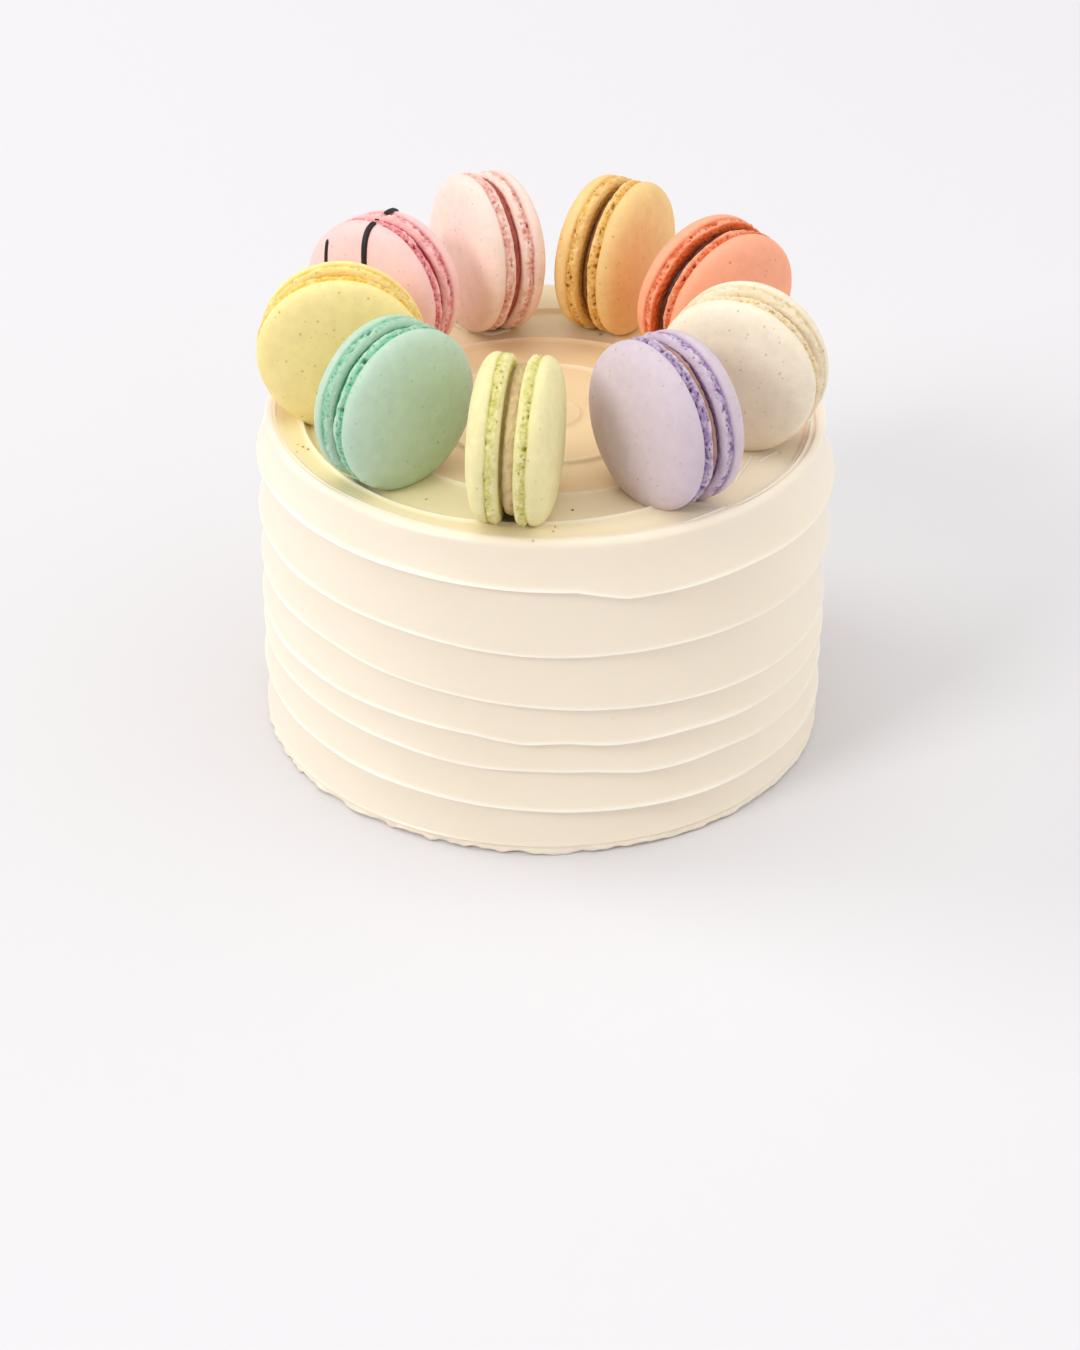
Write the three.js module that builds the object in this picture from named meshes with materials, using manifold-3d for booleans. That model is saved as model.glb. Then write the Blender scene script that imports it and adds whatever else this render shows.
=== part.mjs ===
// A round buttercream layer cake with nine macarons standing on edge in a ring on its top.
// Millimetres, +Z up. The origin is the middle of the flat bottom, and the front faces -Y.
// Angles are in degrees about +Z, counted from +X, so the front is at -90.
import * as THREE from "three";
import { mergeVertices } from "three/addons/utils/BufferGeometryUtils.js";
import Module from "manifold-3d";

const wasm = await Module();
wasm.setup();

// The frosted side: bands swept round with a spatula, each ending below in a thin raised lip.
const sideRadius = 82.6; // at the lips
const sideShift = 0.4; // the side's middle lies this far towards +X of the rim's
const scoopDepth = 1.6; // a band's hollow lies this far inside its lips
const lipDrop = 1.8; // height that the surface needs to step in below a lip
const cakeSegments = 60;

// The lips from the lowest up. Each slopes down towards +X by its tilt, jumps at its seam, and
// rises or dips at its waves: [angle, width in degrees, rise].
const lips = [
  { height: 15.0, tilt: 3.0, seamAngle: 150, seamStep: 1.0, waves: [] },
  { height: 27.5, tilt: 3.6, seamAngle: -75, seamStep: -1.8, waves: [[-104, 12, -0.9], [-52, 8, 0.9]] },
  { height: 37.5, tilt: 2.9, seamAngle: -98, seamStep: -1.6, waves: [[-85, 6, 1.2], [-60, 8, 0.7]] },
  { height: 49.1, tilt: 5.6, seamAngle: 95, seamStep: 0.8, waves: [[-137, 12, 0.7]] },
  { height: 66.7, tilt: 2.6, seamAngle: 40, seamStep: 1.2, waves: [[-92, 18, -1.0]] },
  { height: 84.6, tilt: 1.8, seamAngle: -79, seamStep: -3.2, waves: [[-48, 12, 0.9]] },
];
const seamWidth = 5; // degrees on either side of a seam that its jump is spread over

// The uneven ledge that the frosting leaves round the bottom.
const bottomRadius = 81.4;
const ledgeRadius = 83.0;
const ledgeHeight = 1.3;
const ledgeTop = 3.0;
const ledgeUnevenness = 0.45;

// The soft rim round the top, and the steps of the spatula's rings inside it.
const rimRadius = 80;
const rimHeight = 99.4;
const rimCrestRadius = 77.6;
const rimRounding = 1.5;
const steps = [
  { name: "outer", radius: 68, crest: 98.5, drop: 1.6, seamAngle: -53, seamStep: 12, wander: 4, waves: [[-109, 38, 5]] },
  { name: "middle", radius: 48.5, crest: 97.3, drop: 1.0, seamAngle: 160, seamStep: 2, wander: 1.2, waves: [] },
  { name: "inner", radius: 30.5, crest: 97.0, drop: 0.8, seamAngle: 20, seamStep: 1.5, wander: 0.9, waves: [] },
  { name: "centre", radius: 9.5, crest: 96.8, drop: 0.7, seamAngle: 120, seamStep: 1, wander: 0.3, waves: [] },
];
const stepWidth = 2.2; // the surface falls over this width inside a step's crest
const troughSag = 0.5; // the middle of a ring lies this far below its crest's foot
const centreHeight = 96.1;

// The macarons. Each stands on its edge, its axis nearly along the ring.
const restHeight = 95.5; // lowest point of a macaron, just sunk in the frosting
const fit = 0.3; // clearance between neighbouring solids
const footHeight = 3.2; // the porous, ruffled band next to the filling
const footRuffle = 0.22;
const domeShoulder = 1.2; // from the foot's crease to the widest part of the dome
const domeRoundness = 0.62; // below 1 the dome's side is fuller than an ellipse
const macaronSegments = 20;
const domeRings = 4;

// One row per macaron, round the ring from the front. Turn is its axis's departure from the
// ring's tangent and lean its rise; a macaron's a shell is on the side that the angles count to.
const macarons = [
  {
    name: "lime",
    angle: -97.5, ringRadius: 58.5, turn: 0.3, lean: -0.7, diameter: 45.8, thickness: 24.3,
    gap: 4.0, fillingInset: 2.4, shell: 0xe6e2a6, filling: 0xc9b48c,
  },
  {
    name: "lavender",
    angle: -55.5, ringRadius: 56.8, turn: 2.0, lean: 0.7, diameter: 46.9, thickness: 26.0,
    gap: 2.6, fillingInset: 1.2, shell: 0xcfc0cf, filling: 0xb08a80,
  },
  {
    name: "cream",
    angle: -14.6, ringRadius: 56.5, turn: -9.9, lean: 3.4, diameter: 46.4, thickness: 24.4,
    gap: 1.8, fillingInset: 1.6, shell: 0xefe6d2, filling: 0xe2cfae,
  },
  {
    name: "coral",
    angle: 33.0, ringRadius: 58.4, turn: 6.8, lean: 7.2, diameter: 45.8, thickness: 26.6,
    gap: 3.2, fillingInset: 1.2, shell: 0xf2a583, filling: 0x6b4436,
  },
  {
    name: "tan",
    angle: 71.1, ringRadius: 62.6, turn: -9.2, lean: -0.1, diameter: 46.0, thickness: 24.6,
    gap: 2.8, fillingInset: 1.8, shell: 0xe3c08a, filling: 0x5b3a1e,
  },
  {
    name: "blush",
    angle: 107.5, ringRadius: 61.4, turn: 9.1, lean: 2.8, diameter: 47.4, thickness: 23.2,
    gap: 2.2, fillingInset: 1.4, shell: 0xf3d8d0, filling: 0xb96a66,
  },
  {
    name: "pink",
    angle: 145.6, ringRadius: 58.0, turn: -0.6, lean: 3.1, diameter: 45.2, thickness: 24.8,
    gap: 1.8, fillingInset: 1.4, shell: 0xf0a6a8, filling: 0xc4484c,
  },
  {
    name: "lemon",
    angle: -173.3, ringRadius: 57.5, turn: -4.5, lean: -1.2, diameter: 47.0, thickness: 21.6,
    gap: 1.8, fillingInset: 1.4, shell: 0xf2de8c, filling: 0xf0cf62,
  },
  {
    name: "mint",
    angle: -136.6, ringRadius: 56.4, turn: 1.5, lean: 0.8, diameter: 45.9, thickness: 22.2,
    gap: 1.8, fillingInset: 1.4, shell: 0xb4d3b8, filling: 0x8fc8a8,
  },
];

// The chocolate lines on the pink macaron, each a straight run over a dome: side and up are
// measured from the macaron's axis.
const drizzleSides = 6;
const drizzleSteps = 10;
const drizzles = [
  { on: "a", radius: 0.8, from: { side: -0.4, up: 22.4 }, to: { side: 4.6, up: -12 } },
  { on: "a", radius: 0.55, from: { side: -13.2, up: 15.4 }, to: { side: -9.5, up: -8 } },
  { on: "b", radius: 0.65, from: { side: -1.6, up: 22.4 }, to: { side: -3.0, up: 17.5 } },
];

const radians = THREE.MathUtils.degToRad;

// Turns a closed geometry into a solid that can be joined and cut.
function solidFrom(geometry) {
  const bare = geometry.clone();
  bare.deleteAttribute("normal");
  bare.deleteAttribute("uv");
  const merged = mergeVertices(bare, 1e-4);
  return new wasm.Manifold(
    new wasm.Mesh({
      numProp: 3,
      vertProperties: merged.attributes.position.array,
      triVerts: new Uint32Array(merged.index.array),
    }),
  );
}

// Turns a solid back into a geometry.
function geometryFrom(solid) {
  const mesh = solid.getMesh();
  const geometry = new THREE.BufferGeometry();
  geometry.setAttribute("position", new THREE.BufferAttribute(mesh.vertProperties, 3));
  geometry.setIndex(new THREE.BufferAttribute(mesh.triVerts, 1));
  geometry.computeVertexNormals();
  return geometry;
}

// A turned form whose rings may wander: each ring gives its radius and height at an angle.
// The rings run from the lowest point of the axis to the highest.
function unevenLathe(rings, segments) {
  const nominal = rings.map((ring) => {
    const { radius, height } = ring(0);
    return new THREE.Vector2(radius, height);
  });
  const geometry = new THREE.LatheGeometry(nominal, segments);
  geometry.rotateX(Math.PI / 2);
  const position = geometry.attributes.position;
  for (let i = 0; i <= segments; i += 1) {
    const angle = ((i % segments) / segments) * 2 * Math.PI - Math.PI / 2;
    rings.forEach((ring, j) => {
      const { radius, height } = ring(angle);
      const x = radius * Math.cos(angle);
      const y = radius * Math.sin(angle);
      position.setXYZ(i * rings.length + j, x, y, height);
    });
  }
  return geometry;
}

const fixedRing = (radius, height) => () => ({ radius, height });

// How far a stroke that ends where it began has drifted at an angle: it runs evenly from half
// the step above to half the step below, and jumps back at the seam.
function seamDrift(angle, seamAngle, step) {
  const turns = (angle - radians(seamAngle)) / (2 * Math.PI);
  const part = turns - Math.floor(turns);
  const ramp = step * (0.5 - part);
  const nearness = Math.min(part, 1 - part) / (seamWidth / 360);
  return nearness < 1 ? ramp * nearness : ramp;
}

// A smooth rise or dip of one stretch of a lip.
function waveAt(angle, [centre, width, rise]) {
  const apart = Math.atan2(Math.sin(angle - radians(centre)), Math.cos(angle - radians(centre)));
  return rise * Math.exp(-((apart / radians(width)) ** 2));
}

function lipHeight(lip, angle) {
  const wavy = lip.waves.reduce((sum, wave) => sum + waveAt(angle, wave), 0);
  return lip.height - lip.tilt * Math.cos(angle) + seamDrift(angle, lip.seamAngle, lip.seamStep) + wavy;
}

function sideAt(angle, inset) {
  return sideRadius - inset + sideShift * Math.cos(angle);
}

// The bottom, with the ragged ledge where the frosting meets what the cake stands on.
function bottomRings() {
  const ragged = (angle) =>
    ledgeUnevenness * (Math.sin(5 * angle + 0.7) + 0.6 * Math.sin(11 * angle + 2.1) + 0.5 * Math.sin(17 * angle));
  const lowestLip = lips[0];
  return [
    fixedRing(0, 0),
    fixedRing(bottomRadius, 0),
    (angle) => ({ radius: ledgeRadius + ragged(angle), height: ledgeHeight }),
    (angle) => ({ radius: ledgeRadius - 0.7 + 0.5 * ragged(angle), height: ledgeTop + 0.4 * ragged(angle) }),
    (angle) => ({ radius: sideAt(angle, 0.9), height: ledgeTop + 1.4 }),
    (angle) => ({ radius: sideAt(angle, scoopDepth * 0.8), height: 0.6 * lipHeight(lowestLip, angle) }),
    (angle) => ({ radius: sideAt(angle, scoopDepth), height: lipHeight(lowestLip, angle) - lipDrop }),
  ];
}

// The lips and the hollow bands between them, up to the top band.
function bandRings() {
  const rings = [];
  lips.forEach((lip, k) => {
    const above = lips[k + 1];
    rings.push((angle) => ({ radius: sideAt(angle, 0), height: lipHeight(lip, angle) }));
    if (!above) return;
    const hollow = (share, inset) => (angle) => {
      const low = lipHeight(lip, angle);
      const high = lipHeight(above, angle) - lipDrop;
      return { radius: sideAt(angle, inset), height: low + share * (high - low) };
    };
    rings.push(hollow(0.4, scoopDepth * 0.75), hollow(1, scoopDepth));
  });
  return rings;
}

// The top band, which narrows to the rim.
function rimRings() {
  const topLip = lips[lips.length - 1];
  const between = (angle, share) => {
    const low = lipHeight(topLip, angle);
    return low + share * (rimHeight - rimRounding - low);
  };
  return [
    (angle) => ({ radius: (sideAt(angle, 0) + rimRadius) / 2 - 0.4, height: between(angle, 0.4) }),
    (angle) => ({ radius: rimRadius, height: between(angle, 1) }),
    fixedRing(rimRadius - 0.7, rimHeight - 0.4),
    fixedRing(rimCrestRadius, rimHeight),
  ];
}

function stepRadius(step, angle) {
  const wander = -step.wander * Math.sin(angle) + 0.7 * step.wander * Math.cos(2 * angle);
  const wavy = step.waves.reduce((sum, wave) => sum + waveAt(angle, wave), 0);
  return step.radius + wander + seamDrift(angle, step.seamAngle, step.seamStep) + wavy;
}

// The top inside the rim: a shallow trough, a crest and a drop for each ring of the spatula.
function swirlRings() {
  const rings = [];
  let outerRadius = () => rimCrestRadius;
  let outerHeight = rimHeight - 0.2;
  for (const step of steps) {
    const outside = outerRadius;
    const troughHeight = Math.min(outerHeight, step.crest) - troughSag;
    const foot = step.crest - step.drop;
    rings.push((angle) => ({
      radius: (outside(angle) + stepRadius(step, angle)) / 2,
      height: troughHeight,
    }));
    rings.push((angle) => ({ radius: stepRadius(step, angle), height: step.crest }));
    rings.push((angle) => ({ radius: stepRadius(step, angle) - stepWidth, height: foot }));
    outerRadius = (angle) => stepRadius(step, angle) - stepWidth;
    outerHeight = foot;
  }
  rings.push(fixedRing(0, centreHeight));
  return rings;
}

// The height of a shell's dome above its inner face, at a distance from the axis.
function domeHeight(macaron, distance) {
  const share = Math.min(distance / (macaron.diameter / 2), 1);
  const tilt = Math.acos(share ** (1 / domeRoundness));
  const start = footHeight + domeShoulder;
  const rise = (macaron.thickness - macaron.gap) / 2 - start;
  return start + rise * Math.sin(tilt) ** 0.87;
}

// One shell, its inner face at height 0 and its dome upwards. Growth makes it larger all over.
function shellGeometry(macaron, side, growth = 0) {
  const radius = macaron.diameter / 2;
  const phase = macaron.angle + (side === "a" ? 0 : 2.4);
  const oval = (angle) => 1 + 0.009 * Math.sin(2 * angle + phase) + 0.005 * Math.sin(3 * angle + 2 * phase);
  const ruffle = (angle) => footRuffle * (Math.sin(6 * angle + phase) + 0.7 * Math.sin(9 * angle + 3 * phase));
  const ring = (distance, height, ruffled = 0) => (angle) => ({
    radius: distance * oval(angle) + ruffled * ruffle(angle) + growth,
    height,
  });
  const rings = [
    fixedRing(0, -growth),
    ring(radius - 1.5, -growth, 1),
    ring(radius - 0.2, 1.2, 1),
    ring(radius - 0.7, footHeight, 0.6),
  ];
  for (let k = 0; k < domeRings; k += 1) {
    const tilt = (k / domeRings) * (Math.PI / 2);
    const distance = radius * Math.cos(tilt) ** domeRoundness;
    rings.push(ring(distance, domeHeight(macaron, distance) + growth));
  }
  rings.push(fixedRing(0, domeHeight(macaron, 0) + growth));
  return unevenLathe(rings, macaronSegments);
}

// A line of chocolate laid over a shell's dome, half sunk in it.
function drizzleGeometry(macaron, drizzle) {
  const { from, to, radius } = drizzle;
  const points = [];
  for (let k = 0; k <= drizzleSteps; k += 1) {
    const share = k / drizzleSteps;
    const side = THREE.MathUtils.lerp(from.side, to.side, share);
    const up = THREE.MathUtils.lerp(from.up, to.up, share);
    const distance = Math.min(Math.hypot(side, up), macaron.diameter / 2 - 0.1);
    points.push(new THREE.Vector3(side, up, domeHeight(macaron, distance)));
  }
  const section = new THREE.Shape(
    new THREE.EllipseCurve(0, 0, radius, radius, 0, 2 * Math.PI).getPoints(drizzleSides).slice(0, -1),
  );
  return new THREE.ExtrudeGeometry(section, {
    extrudePath: new THREE.CatmullRomCurve3(points),
    steps: drizzleSteps,
    bevelEnabled: false,
  });
}

// Sends a shell's own frame, with the dome along +Z, to its side of the macaron's axis, +X.
function ontoSide(macaron, side) {
  const inner = macaron.gap / 2;
  const standing = new THREE.Matrix4().makeBasis(
    new THREE.Vector3(0, 1, 0),
    new THREE.Vector3(0, 0, 1),
    new THREE.Vector3(1, 0, 0),
  );
  const matrix = new THREE.Matrix4().makeTranslation(inner, 0, 0).multiply(standing);
  return side === "a" ? matrix : new THREE.Matrix4().makeRotationZ(Math.PI).multiply(matrix);
}

function shellMesh(macaron, side) {
  let geometry = shellGeometry(macaron, side);
  const lines = macaron.name === "pink" ? drizzles.filter((drizzle) => drizzle.on === side) : [];
  if (lines.length > 0) {
    let solid = solidFrom(geometry);
    for (const line of lines) solid = solid.add(solidFrom(drizzleGeometry(macaron, line)));
    geometry = geometryFrom(solid);
  }
  geometry.applyMatrix4(ontoSide(macaron, side));
  const material = new THREE.MeshStandardMaterial({ color: macaron.shell, roughness: 0.8, metalness: 0 });
  const mesh = new THREE.Mesh(geometry, material);
  mesh.name = `${macaron.name}_macaron_shell_${side}`;
  return mesh;
}

// The filling is a flat round cake of cream, a little smaller than the shells that it joins.
function fillingMesh(macaron) {
  const half = macaron.gap / 2 - fit;
  const radius = macaron.diameter / 2 - macaron.fillingInset;
  const edge = (height, inset) => (angle) => ({
    radius: radius - inset + 0.25 * Math.sin(4 * angle + macaron.angle),
    height,
  });
  const rings = [fixedRing(0, -half), edge(-half, 0), edge(half, 0.2), fixedRing(0, half)];
  const geometry = unevenLathe(rings, macaronSegments);
  geometry.rotateY(Math.PI / 2);
  const material = new THREE.MeshStandardMaterial({ color: macaron.filling, roughness: 0.5, metalness: 0 });
  const mesh = new THREE.Mesh(geometry, material);
  mesh.name = `${macaron.name}_macaron_filling`;
  return mesh;
}

// A macaron's group stands on its edge at its place on the ring.
function macaronGroup(macaron) {
  const group = new THREE.Group();
  group.add(shellMesh(macaron, "a"), fillingMesh(macaron), shellMesh(macaron, "b"));
  const lean = radians(macaron.lean);
  const around = radians(macaron.angle);
  group.rotation.set(0, -lean, around + Math.PI / 2 + radians(macaron.turn), "ZYX");
  group.position.set(
    macaron.ringRadius * Math.cos(around),
    macaron.ringRadius * Math.sin(around),
    restHeight + (macaron.diameter / 2) * Math.cos(lean),
  );
  group.updateMatrixWorld(true);
  return group;
}

// The hollow that a macaron presses in the frosting: its own form, larger by the clearance.
function macaronPocket(macaron, group) {
  let pocket = null;
  for (const side of ["a", "b"]) {
    const shell = shellGeometry(macaron, side, fit);
    shell.applyMatrix4(ontoSide(macaron, side));
    shell.applyMatrix4(group.matrixWorld);
    const solid = solidFrom(shell);
    pocket = pocket ? pocket.add(solid) : solid;
  }
  const radius = macaron.diameter / 2;
  const core = new THREE.CylinderGeometry(radius, radius, macaron.gap, macaronSegments);
  core.rotateZ(Math.PI / 2);
  core.applyMatrix4(group.matrixWorld);
  return pocket.add(solidFrom(core));
}

// The frosted cake, uncut and so one solid, with the macarons' hollows taken out of its top.
function frostedCakeMesh(groups) {
  const rings = [...bottomRings(), ...bandRings(), ...rimRings(), ...swirlRings()];
  let solid = solidFrom(unevenLathe(rings, cakeSegments));
  macarons.forEach((macaron, k) => {
    solid = solid.subtract(macaronPocket(macaron, groups[k]));
  });
  const material = new THREE.MeshStandardMaterial({ color: 0xfbf3e2, roughness: 0.45, metalness: 0 });
  const mesh = new THREE.Mesh(geometryFrom(solid), material);
  mesh.name = "frosted_cake";
  return mesh;
}

const cake = new THREE.Group();
const macaronGroups = macarons.map(macaronGroup);
cake.add(frostedCakeMesh(macaronGroups), ...macaronGroups);

export default cake;
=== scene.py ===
import math
import random

import bmesh
import bpy
from mathutils import Matrix, Vector, noise
from mathutils.bvhtree import BVHTree


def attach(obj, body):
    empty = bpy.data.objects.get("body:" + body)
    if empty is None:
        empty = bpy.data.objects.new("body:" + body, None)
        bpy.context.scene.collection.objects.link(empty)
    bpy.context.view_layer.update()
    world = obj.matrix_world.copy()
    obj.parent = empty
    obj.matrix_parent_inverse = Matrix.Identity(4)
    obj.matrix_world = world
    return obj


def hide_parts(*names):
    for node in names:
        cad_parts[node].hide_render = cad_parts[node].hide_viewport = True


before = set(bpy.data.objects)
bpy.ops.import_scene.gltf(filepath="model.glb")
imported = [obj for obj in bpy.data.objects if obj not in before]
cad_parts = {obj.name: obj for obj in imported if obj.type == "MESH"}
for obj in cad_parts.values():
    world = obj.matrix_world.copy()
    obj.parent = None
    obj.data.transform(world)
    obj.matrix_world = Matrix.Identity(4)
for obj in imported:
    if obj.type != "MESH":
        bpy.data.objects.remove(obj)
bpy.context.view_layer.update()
mm = 0.001


def linear(hexColour):
    # an sRGB hex colour as linear red, green, blue and alpha
    channels = []
    for start in (0, 2, 4):
        share = int(hexColour[start:start + 2], 16) / 255
        channels.append(share / 12.92 if share <= 0.04045 else ((share + 0.055) / 1.055) ** 2.4)
    return (*channels, 1.0)


def fillNode(owner, node, settings=None, links=None):
    # settings go to the node's sockets or properties, links to its sockets
    for name, value in (settings or {}).items():
        if isinstance(name, int) or name in node.inputs:
            node.inputs[name].default_value = value
        else:
            setattr(node, name, value)
    for name, source in (links or {}).items():
        owner.node_tree.links.new(source, node.inputs[name])
    return node


def addNode(owner, kind, settings=None, links=None):
    return fillNode(owner, owner.node_tree.nodes.new(kind), settings, links)


def blend(owner, share, start, end):
    # two colours mixed by a share; each is a colour or a socket that carries one
    settings = {"data_type": "RGBA"}
    links = {0: share}
    for socket, colour in ((6, start), (7, end)):
        if isinstance(colour, bpy.types.NodeSocket):
            links[socket] = colour
        else:
            settings[socket] = colour
    return addNode(owner, "ShaderNodeMix", settings, links).outputs[2]


def texture(owner, kind, place, settings):
    # a noise or cell pattern laid by the coordinates of a place
    return addNode(owner, "ShaderNodeTex" + kind, settings, {"Vector": place})


def newMaterial(name):
    # a material, its shader and the object's own coordinates
    material = bpy.data.materials.new(name)
    material.use_nodes = True
    shader = material.node_tree.nodes["Principled BSDF"]
    place = addNode(material, "ShaderNodeTexCoord").outputs["Object"]
    return material, shader, place


def smoothStep(share):
    share = min(max(share, 0.0), 1.0)
    return share * share * (3 - 2 * share)


def lerp(start, end, share):
    return start + (end - start) * share


def spunMesh(rings, steps, marks=()):
    # Spins a line with one point for each ring, then moves every point to where its ring
    # lies at that angle. A ring gives its radius, its height and a value for each mark.
    # One eighth is spun and doubled three times, which is much quicker than a full spin.
    bm = bmesh.new()
    ringLayer = bm.verts.layers.int.new("ring")
    markLayers = [bm.verts.layers.float.new(mark) for mark in marks]
    line = []
    for index, ring in enumerate(rings):
        radius, height = ring(0.0)[:2]
        vert = bm.verts.new((radius, 0, height))
        vert[ringLayer] = index
        line.append(vert)
    edges = [bm.edges.new(pair) for pair in zip(line, line[1:])]
    turn = math.pi / 4
    bmesh.ops.spin(bm, geom=line + edges, cent=(0, 0, 0), axis=(0, 0, 1), angle=turn, steps=steps // 8)
    for doubling in range(3):
        sector = bm.verts[:] + bm.edges[:] + bm.faces[:]
        copied = bmesh.ops.duplicate(bm, geom=sector)["geom"]
        verts = [element for element in copied if isinstance(element, bmesh.types.BMVert)]
        matrix = Matrix.Rotation(turn * 2 ** doubling, 3, "Z")
        bmesh.ops.rotate(bm, cent=(0, 0, 0), matrix=matrix, verts=verts)
    bmesh.ops.remove_doubles(bm, verts=bm.verts, dist=0.002)
    for vert in bm.verts:
        angle = math.atan2(vert.co.y, vert.co.x)
        radius, height, *values = rings[vert[ringLayer]](angle)
        vert.co = (radius * math.cos(angle), radius * math.sin(angle), height)
        for layer, value in zip(markLayers, values):
            vert[layer] = value
    bmesh.ops.recalc_face_normals(bm, faces=bm.faces)
    return bm


def finishPiece(bm, name, material, slot, *nodes):
    # the mesh becomes a smooth piece in metres, riding on the cake
    bmesh.ops.scale(bm, vec=(mm, mm, mm), verts=bm.verts)
    mesh = bpy.data.meshes.new(name)
    bm.to_mesh(mesh)
    bm.free()
    mesh.polygons.foreach_set("use_smooth", [True] * len(mesh.polygons))
    piece = bpy.data.objects.new(name, mesh)
    bpy.context.scene.collection.objects.link(piece)
    mesh.materials.append(material)
    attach(piece, "root")
    if nodes:
        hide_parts(*nodes)
    return piece


# The camera stands where the photograph was taken from, turned a little about its own axis.
camera = {
    "lens": 77.61,
    "sensor": 36.0,
    "elevation": 32.84,
    "roll": 0.913,
    "distance": 881.4,
    "aimHeight": 6.63,
    "sideways": -0.364,
}


def makeCamera():
    data = bpy.data.cameras.new("camera")
    data.lens = camera["lens"]
    data.sensor_width = camera["sensor"]
    data.clip_start = 0.05
    data.clip_end = 50
    elevation = math.radians(camera["elevation"])
    roll = math.radians(camera["roll"])
    level = Vector((1, 0, 0))
    raised = Vector((0, math.sin(elevation), math.cos(elevation)))
    right = level * math.cos(roll) + raised * math.sin(roll)
    up = raised * math.cos(roll) - level * math.sin(roll)
    back = right.cross(up)
    distance = camera["distance"]
    place = Vector((0, -distance * math.cos(elevation), distance * math.sin(elevation) + camera["aimHeight"]))
    place += right * camera["sideways"]
    holder = bpy.data.objects.new("camera", data)
    holder.matrix_world = Matrix.Translation(place * mm) @ Matrix((right, up, back)).transposed().to_4x4()
    bpy.context.scene.collection.objects.link(holder)
    bpy.context.scene.camera = holder


makeCamera()
print("camera placed")

# The frosted side: bands swept round with a spatula, each ending below in a thin raised lip.
# A lip slopes down towards +X by its tilt, jumps at its seam and rises or dips at its waves.
# Its bead is how far it stands proud of its own band.
side = {
    "radius": 82.6,
    "shift": 0.4,  # the side's middle lies this far towards +X of the rim's
    "scoopDepth": 1.6,
    "scoopFullness": 2.2,
    "underside": 1.3,  # height over which the surface steps in below a lip
    "beadHeight": 0.42,
    "seamWidth": 5,
    "edgeBead": 0.35,  # of the lowest edge, where it shows at the left
    "underOffsets": (1.3, 1.0, 0.75, 0.55, 0.4, 0.28, 0.18, 0.09),  # of the rings below a lip's nose
    "overOffsets": (0, 0.15, 0.35, 0.6, 0.95, 1.5),  # and of those above it
    "lips": [
        {"height": 15.0, "tilt": 3.0, "seam": (150, 1.0), "waves": [], "bead": 0.7},
        {
            "height": 27.5, "tilt": 3.6, "seam": (-75, -1.8), "bead": 0.35,
            "waves": [(-104, 12, -0.9), (-52, 8, 0.9)],
        },
        {
            "height": 37.5, "tilt": 2.9, "seam": (-98, -1.6), "bead": 0.6,
            "waves": [(-85, 6, 1.2), (-60, 8, 0.7)],
        },
        {"height": 49.1, "tilt": 5.6, "seam": (95, 0.8), "waves": [(-137, 12, 0.7)], "bead": 0.35},
        {"height": 66.7, "tilt": 2.6, "seam": (40, 1.2), "waves": [(-92, 18, -1.0)], "bead": 0.5},
        {"height": 84.6, "tilt": 1.8, "seam": (-79, -3.2), "waves": [(-48, 12, 0.9)], "bead": 0.65},
    ],
}

# The bottom edge, left ragged where the frosting meets what the cake stands on.
bottomEdge = {
    "standingRadius": 81.3,
    "ledgeRadius": 82.9,
    "ledgeHeight": 1.2,
    "lipHeight": 2.9,
    "coarse": (6.0, 0.8),  # length and depth of the larger tears
    "fine": (1.8, 0.6),
    "lift": 1.1,
    "raggedAt": 215,  # the edge is most torn here, and neatest on the far side of the cake
}

# The rim and the rings that the spatula left on the top.
top = {
    "rimRadius": 80.0,
    "rimHeight": 99.4,
    "rollStart": 97.4,  # where the top band begins to roll over
    "bandDepth": 1.0,  # how deep the top band is scooped
    "crestRadius": 78.2,
    "centreHeight": 96.1,
    "riserWidth": 1.4,
    "fallWidth": 2.2,
    "rimSlope": 7.0,  # how far the rim's inner slope reaches
    "rimStep": 0.1,  # how much deeper the first trough is beside the rim
    "rimLine": (1.0, 0.28),  # a thin second line inside the rim: how far in, and how high
    "rings": [
        {
            "radius": 68.0, "crest": 99.15, "sag": 0.6, "drop": 2.1, "seam": (-53, 12), "wander": 4.0,
            "waves": [(-109, 38, 5.0)],  # the stroke swings out towards the rim at the front left
        },
        {"radius": 48.5, "crest": 97.4, "sag": 0.6, "drop": 1.1, "seam": (160, 2), "wander": 1.2},
        {"radius": 30.5, "crest": 97.0, "sag": 0.5, "drop": 0.8, "seam": (20, 1.5), "wander": 0.9},
        {"radius": 9.5, "crest": 96.8, "sag": 0.5, "drop": 0.7, "seam": (120, 1), "wander": 0.3},
    ],
}

cakeSteps = 416  # round the cake, about 1.25 mm each at the side


def seamDrift(angle, seam):
    # a stroke that ends where it began drifts evenly and jumps back at its seam
    seamAngle, step = seam
    turns = (angle - math.radians(seamAngle)) / (2 * math.pi)
    part = turns - math.floor(turns)
    nearness = min(part, 1 - part) / (side["seamWidth"] / 360)
    return step * (0.5 - part) * min(nearness, 1)


def waveAt(angle, wave):
    centre, width, rise = wave
    apart = math.remainder(angle - math.radians(centre), 2 * math.pi)
    return rise * math.exp(-((apart / math.radians(width)) ** 2))


def lipHeight(lip, angle):
    wavy = sum(waveAt(angle, wave) for wave in lip["waves"])
    return lip["height"] - lip["tilt"] * math.cos(angle) + seamDrift(angle, lip["seam"]) + wavy


def roundNoise(angle, radius, length, level=0.0):
    # noise round a circle, with features of about that length
    return noise.noise(Vector((radius * math.cos(angle), radius * math.sin(angle), level)) / length)


def lipBead(lip, angle):
    patchy = 1 + 0.9 * roundNoise(angle, side["radius"], 30, lip["height"])
    return lip["bead"] * patchy


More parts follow.
